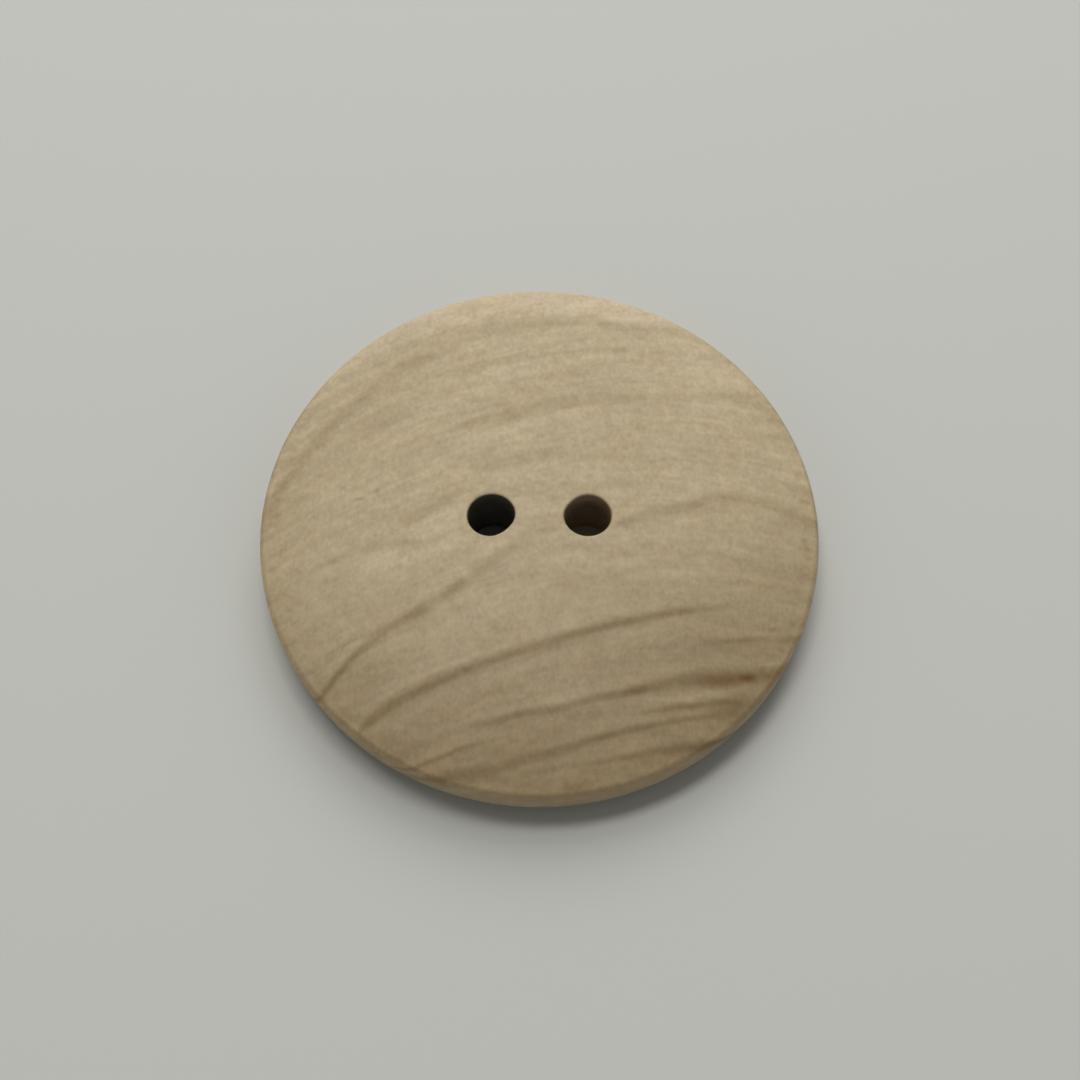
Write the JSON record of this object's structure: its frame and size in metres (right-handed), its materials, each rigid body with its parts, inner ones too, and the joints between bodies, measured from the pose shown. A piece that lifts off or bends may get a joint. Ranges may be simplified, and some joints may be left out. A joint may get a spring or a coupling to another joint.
{
  "type": "wooden button",
  "caption": "Round turned wooden button with a domed face, rounded rim, flat back and a row of sewing holes, sewn on with thread to fasten a garment.",
  "frame": {"origin": "centre of the flat back, on the turning axis", "axes": "+Z out of the domed face along the turning axis, +X along the row of sewing holes"},
  "size_m": [0.03, 0.03, 0.0042],
  "materials": {
    "wood": "satin, fine grained light wood with a few dark growth rings, sanded smooth and barely sealed"
  },
  "bodies": {
    "root": {"button": "wood"}
  },
  "joints": []
}
